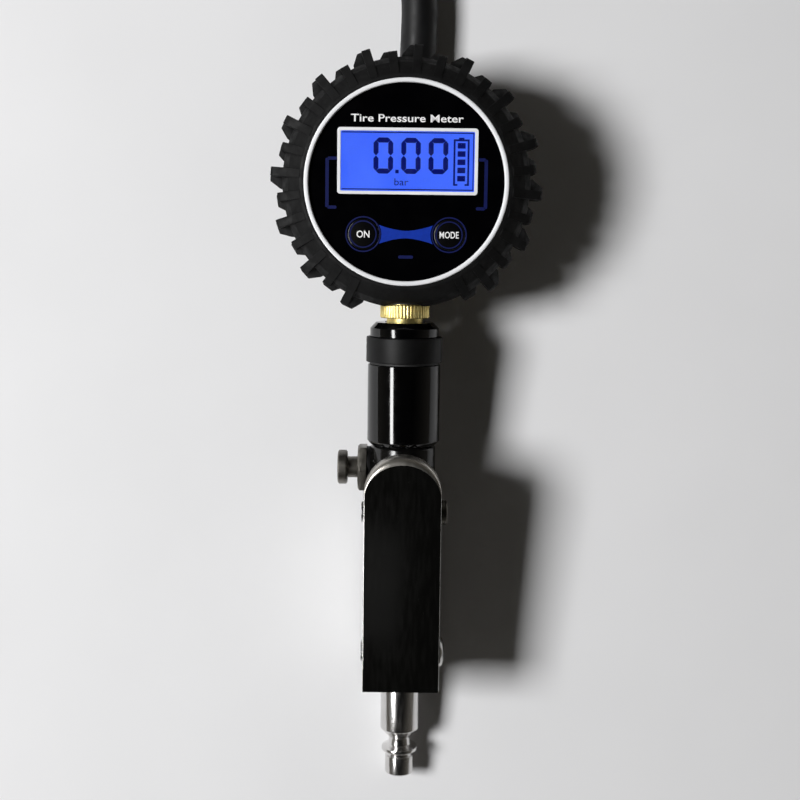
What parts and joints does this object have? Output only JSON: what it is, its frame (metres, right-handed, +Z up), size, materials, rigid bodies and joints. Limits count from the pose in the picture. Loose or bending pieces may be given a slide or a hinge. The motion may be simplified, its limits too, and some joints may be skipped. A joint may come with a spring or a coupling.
{
  "type": "tire pressure gauge",
  "caption": "Digital tyre inflator: gauge head in a lugged rubber boot, squeeze-lever valve handle, release knob, inlet plug and air hose with clip-on tyre chuck.",
  "frame": {"origin": "on the table under the middle of the tool, without its hose and chuck", "axes": "+Z up from the table; +Y along the tool from its inlet plug to the top of the gauge; +X to the right seen from above, so the release knob is at -X. The tool lies on its back and its dial leans 7 degrees towards the plug."},
  "size_m": [0.178, 0.4444, 0.0473],
  "materials": {
    "boot_rubber": "matte moulded rubber",
    "hose_rubber": "smooth black hose rubber",
    "seal_rubber": "soft seal rubber",
    "case_plastic": "fine texture",
    "face_plastic": "gloss black printed overlay",
    "white_plastic": "satin white",
    "lens": "clear acrylic",
    "lcd": "blue back-lit display",
    "backlight": "diffuser",
    "button_plastic": "gloss black printed",
    "board": "green solder mask",
    "component": "moulded chip",
    "cell": "printed jacket",
    "steel": "plain steel",
    "spring_steel": "spring wire",
    "brass": "machined",
    "black_paint": "gloss black enamel",
    "black_matte": "satin black",
    "cast_body": "dark plated die casting",
    "lever_chrome": "polished chrome",
    "plug_chrome": "polished chrome",
    "gunmetal": "black nickel"
  },
  "bodies": {
    "handle": {"rubber_boot": "boot_rubber", "gauge_case": "case_plastic", "battery_door": "case_plastic", "case_screws": "steel", "trim_ring": "white_plastic", "face_plate": "face_plastic", "display_frame": "white_plastic", "window_lens": "lens", "lcd_panel": "lcd", "backlight": "backlight", "button_switches": "component", "circuit_board": "board", "board_components": "component", "pressure_sensor": "steel", "sensor_leads": "steel", "battery_cells": "cell", "battery_contacts": "spring_steel", "gauge_stem": "brass", "lock_nut": "brass", "head_cap": "black_paint", "outlet_collar": "black_matte", "collar_seal": "seal_rubber", "grip_tube": "black_paint", "banjo_bolt": "gunmetal", "valve_body": "cast_body", "lever_pivot_pin": "lever_chrome", "pivot_pin_clip": "steel", "stop_bolt": "gunmetal", "stop_bolt_nut": "steel", "valve_seat": "brass", "valve_spring": "spring_steel", "stem_gland": "brass", "stem_seal": "seal_rubber", "release_valve_body": "gunmetal", "release_washer": "black_matte", "release_spring": "spring_steel", "inlet_plug": "plug_chrome", "inlet_seal": "seal_rubber", "hose_elbow": "gunmetal", "hose_ferrule": "gunmetal", "hose": "hose_rubber", "chuck_ferrule": "gunmetal", "chuck_body": "plug_chrome", "chuck_clip_pin": "steel", "chuck_gasket": "seal_rubber", "chuck_depressor": "brass"},
    "lever_body": {"lever": "lever_chrome"},
    "stem_body": {"valve_stem": "steel", "valve_rubber": "seal_rubber"},
    "release_body": {"release_knob": "gunmetal", "release_rubber": "seal_rubber"},
    "on_key": {"on_button": "button_plastic"},
    "mode_key": {"mode_button": "button_plastic"},
    "clip_body": {"chuck_lever": "plug_chrome"}
  },
  "joints": [
    {"name": "lever_squeeze", "type": "hinge", "parent": "handle", "child": "lever_body", "pos_m": [0, -0.07868, 0.01613], "axis": [-1, 0, 0], "range_deg": [0, 6.2], "stiffness_Nm_per_rad": 1.2, "springref_deg": -8.59},
    {"name": "stem_press", "type": "slide", "parent": "handle", "child": "stem_body", "axis": [0, 0.1219, -0.9925], "range_m": [0, 0.00321], "deforming": ["valve_spring"]},
    {"name": "release_press", "type": "slide", "parent": "handle", "child": "release_body", "axis": [1, 0, 0], "range_m": [0, 0.002], "stiffness_N_per_m": 900, "springref_m": -0.0005, "deforming": ["release_spring"]},
    {"name": "on_button_press", "type": "slide", "parent": "handle", "child": "on_key", "axis": [0, 0.1219, -0.9925], "range_m": [0, 0.0005], "stiffness_N_per_m": 900, "springref_m": -0.0003},
    {"name": "mode_button_press", "type": "slide", "parent": "handle", "child": "mode_key", "axis": [0, 0.1219, -0.9925], "range_m": [0, 0.0005], "stiffness_N_per_m": 900, "springref_m": -0.0003},
    {"name": "chuck_clip", "type": "hinge", "parent": "handle", "child": "clip_body", "pos_m": [0.12183, 0.19436, 0.01868], "axis": [-0.9903, -0.139, 0], "range_deg": [0, 12], "stiffness_Nm_per_rad": 0.25, "springref_deg": -11.46}
  ],
  "couplings": [
    {"joint": "stem_press", "follows": "lever_squeeze", "m_per_rad": 0.0295}
  ]
}
